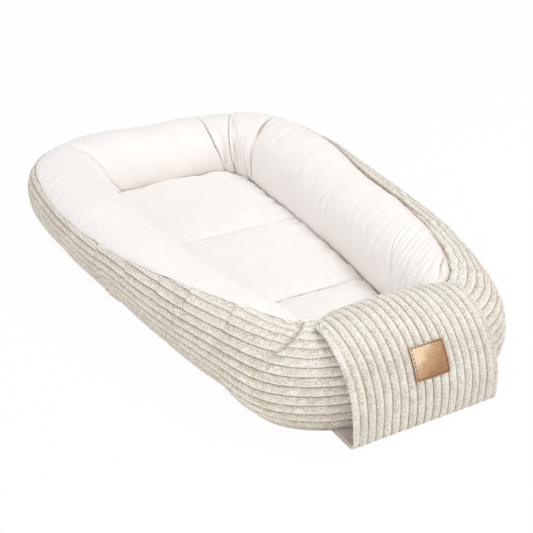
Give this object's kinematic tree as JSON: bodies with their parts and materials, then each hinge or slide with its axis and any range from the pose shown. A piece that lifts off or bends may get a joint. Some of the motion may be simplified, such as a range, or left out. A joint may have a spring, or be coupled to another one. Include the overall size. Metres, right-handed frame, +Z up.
{
  "type": "infant lounger",
  "caption": "Stuffed oval roll around a quilted floor, lined in smooth cotton, with corduroy sides and a wide folding corduroy band that closes the foot end.",
  "frame": {"origin": "on the floor, below the middle of the lounger", "axes": "+Y towards the head end, +X to the right seen from the foot, +Z up"},
  "size_m": [0.5311, 0.9024, 0.1352],
  "materials": {
    "lining": "smooth matt cotton, pale rose white",
    "corduroy": "wide-ribbed corduroy, warm beige, soft pile",
    "base": "plain woven cloth, lightly padded",
    "filling": "white polyester fibre",
    "tape": "hook and loop tape",
    "leather": "caramel leather, satin, stitched edge"
  },
  "bodies": {
    "root": {"roll_filling": "filling", "lining_left": "lining", "lining_head": "lining", "lining_right": "lining", "side_panel_left": "corduroy", "side_panel_head": "corduroy", "side_panel_right": "corduroy", "floor_pad_foot": "filling", "floor_pad_middle": "filling", "floor_pad_head": "filling", "floor_lining": "lining", "band_root_outer": "corduroy", "band_root_lining": "lining", "loop_tape_right": "tape", "loop_tape_left": "tape", "base_panel": "base"},
    "band_lower": {"band_lower_outer": "corduroy", "band_lower_lining": "lining"},
    "band_front": {"band_front_outer": "corduroy", "band_front_lining": "lining", "patch": "leather"},
    "band_top": {"band_top_outer": "corduroy", "band_top_lining": "lining"},
    "band_tongue": {"band_tongue_outer": "corduroy", "band_tongue_lining": "lining", "hook_tape": "tape"}
  },
  "joints": [
    {"name": "band_lift", "type": "hinge", "parent": "root", "child": "band_lower", "pos_m": [0, -0.45, 0.014], "axis": [1, 0, 0], "range_deg": [0, 92]},
    {"name": "band_front_unfold", "type": "hinge", "parent": "band_lower", "child": "band_front", "pos_m": [0, -0.44677, 0.06389], "axis": [1, 0, 0], "range_deg": [0, 33.5]},
    {"name": "band_top_unfold", "type": "hinge", "parent": "band_front", "child": "band_top", "pos_m": [0, -0.39904, 0.12563], "axis": [1, 0, 0], "range_deg": [0, 54.5]},
    {"name": "band_tongue_unfold", "type": "hinge", "parent": "band_top", "child": "band_tongue", "pos_m": [0, -0.32145, 0.12384], "axis": [1, 0, 0], "range_deg": [0, 76.5]}
  ],
  "couplings": [
    {"joint": "band_front_unfold", "follows": "band_lift", "ratio": 0.36},
    {"joint": "band_top_unfold", "follows": "band_lift", "ratio": 0.59},
    {"joint": "band_tongue_unfold", "follows": "band_lift", "ratio": 0.83}
  ]
}
